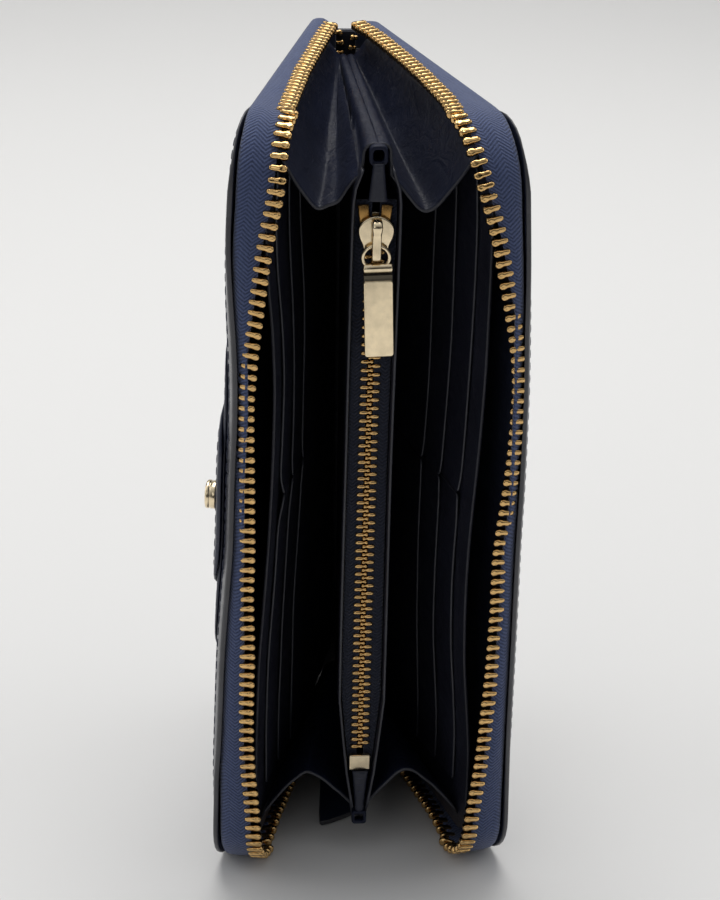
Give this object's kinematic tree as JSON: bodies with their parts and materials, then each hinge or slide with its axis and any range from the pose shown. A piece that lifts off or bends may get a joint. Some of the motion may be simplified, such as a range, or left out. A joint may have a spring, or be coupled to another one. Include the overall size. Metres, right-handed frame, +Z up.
{
  "type": "zip around wallet",
  "caption": "Upright zip-around wallet in navy leather, fully unzipped: two hinged covers, stepped card slots, gusseted compartments and a zipped coin pocket.",
  "frame": {"origin": "middle of the bounding box at the foot, on the floor", "axes": "+Z up along the wallet's long edge, -Y towards the open zip, +Y towards the spine, +X to the right-hand cover"},
  "size_m": [0.0756, 0.0994, 0.2015],
  "materials": {
    "outer_leather": "fine grained navy, satin",
    "inner_leather": "smooth navy, low gloss",
    "board": "bonded fibre stiffener, dull",
    "zip_tape": "woven navy herringbone tape, matte",
    "zip_metal": "polished teeth",
    "pull_metal": "pale gold, polished"
  },
  "bodies": {
    "centre": {"spine_leather": "outer_leather", "spine_lining": "inner_leather", "coin_panel_left": "inner_leather", "coin_tape_left": "zip_tape", "coin_teeth_left": "zip_metal", "coin_stop_top_left": "zip_metal", "gusset_top_left": "inner_leather", "gusset_bottom_left": "inner_leather", "coin_panel_right": "inner_leather", "coin_tape_right": "zip_tape", "coin_teeth_right": "zip_metal", "coin_stop_top_right": "zip_metal", "gusset_top_right": "inner_leather", "gusset_bottom_right": "inner_leather", "coin_stop_bottom": "zip_metal", "coin_end_top": "inner_leather", "coin_end_bottom": "inner_leather", "loop_top": "inner_leather", "loop_bottom": "inner_leather", "zip_tail": "zip_tape"},
    "left_cover": {"cover_leather_left": "outer_leather", "cover_board_left": "board", "cover_lining_left": "inner_leather", "zip_tape_left": "zip_tape", "zip_teeth_left": "zip_metal", "outer_pocket": "outer_leather"},
    "right_cover": {"cover_leather_right": "outer_leather", "cover_board_right": "board", "cover_lining_right": "inner_leather", "zip_tape_right": "zip_tape", "zip_teeth_right": "zip_metal"},
    "left_card_panel": {"card_partition_left": "inner_leather", "card_slot_1_lower_left": "inner_leather", "card_slot_1_upper_left": "inner_leather", "card_slot_2_lower_left": "inner_leather", "card_slot_2_upper_left": "inner_leather", "card_slot_3_lower_left": "inner_leather", "card_slot_3_upper_left": "inner_leather"},
    "right_card_panel": {"card_partition_right": "inner_leather", "card_slot_1_lower_right": "inner_leather", "card_slot_1_upper_right": "inner_leather", "card_slot_2_lower_right": "inner_leather", "card_slot_2_upper_right": "inner_leather", "card_slot_3_lower_right": "inner_leather", "card_slot_3_upper_right": "inner_leather"},
    "coin_slider": {"coin_slider_front": "pull_metal", "coin_slider_back": "pull_metal", "coin_slider_bridge": "pull_metal"},
    "coin_link": {"coin_link": "pull_metal"},
    "coin_pull": {"coin_pull": "pull_metal"},
    "main_slider": {"main_slider_outer": "pull_metal", "main_slider_inner": "pull_metal"},
    "main_link": {"main_link": "pull_metal"},
    "main_pull": {"main_pull_tab": "outer_leather"},
    "flap": {"flap": "outer_leather", "stud_cap": "pull_metal"}
  },
  "joints": [
    {"name": "left_cover_fold", "type": "hinge", "parent": "centre", "child": "left_cover", "pos_m": [-0.00668, 0.04593, 0.0055], "axis": [0, 0, -1], "range_deg": [-14.5, 22]},
    {"name": "right_cover_fold", "type": "hinge", "parent": "centre", "child": "right_cover", "pos_m": [0.00932, 0.04593, 0.0055], "axis": [0, 0, 1], "range_deg": [-14.5, 22]},
    {"name": "left_card_fold", "type": "hinge", "parent": "centre", "child": "left_card_panel", "pos_m": [-0.00428, 0.03993, 0.0055], "axis": [0, 0, -1], "range_deg": [-11.61, 17.61], "deforming": ["gusset_top_left", "gusset_bottom_left"]},
    {"name": "right_card_fold", "type": "hinge", "parent": "centre", "child": "right_card_panel", "pos_m": [0.00692, 0.03993, 0.0055], "axis": [0, 0, 1], "range_deg": [-11.61, 17.61], "deforming": ["gusset_top_right", "gusset_bottom_right"]},
    {"name": "flap_fold", "type": "hinge", "parent": "left_cover", "child": "flap", "pos_m": [-0.01965, 0.01013, 0.0055], "axis": [0, 0, -1], "range_deg": [0, 150]},
    {"name": "coin_zip_run", "type": "slide", "parent": "centre", "child": "coin_slider", "axis": [0, 0, -1], "range_m": [0, 0.132]},
    {"name": "coin_link_swing", "type": "hinge", "parent": "coin_slider", "child": "coin_link", "pos_m": [0.00132, -0.03932, 0.1709], "axis": [-1, 0, 0], "range_deg": [0, 95]},
    {"name": "coin_pull_swing", "type": "hinge", "parent": "coin_link", "child": "coin_pull", "pos_m": [0.00132, -0.03932, 0.16505], "axis": [-1, 0, 0], "range_deg": [0, 60]},
    {"name": "main_zip_run", "type": "slide", "parent": "centre", "child": "main_slider", "axis": [0, -1, 0], "range_m": [0, 0.04]},
    {"name": "main_link_swing", "type": "hinge", "parent": "main_slider", "child": "main_link", "pos_m": [0.00132, 0.03048, 0.0012], "axis": [1, 0, 0], "range_deg": [0, 60]},
    {"name": "main_pull_swing", "type": "hinge", "parent": "main_link", "child": "main_pull", "pos_m": [0.00132, 0.02683, 0.0012], "axis": [1, 0, 0], "range_deg": [0, 60]}
  ],
  "couplings": [
    {"joint": "left_card_fold", "follows": "left_cover_fold", "ratio": 0.8},
    {"joint": "right_card_fold", "follows": "right_cover_fold", "ratio": 0.8}
  ]
}
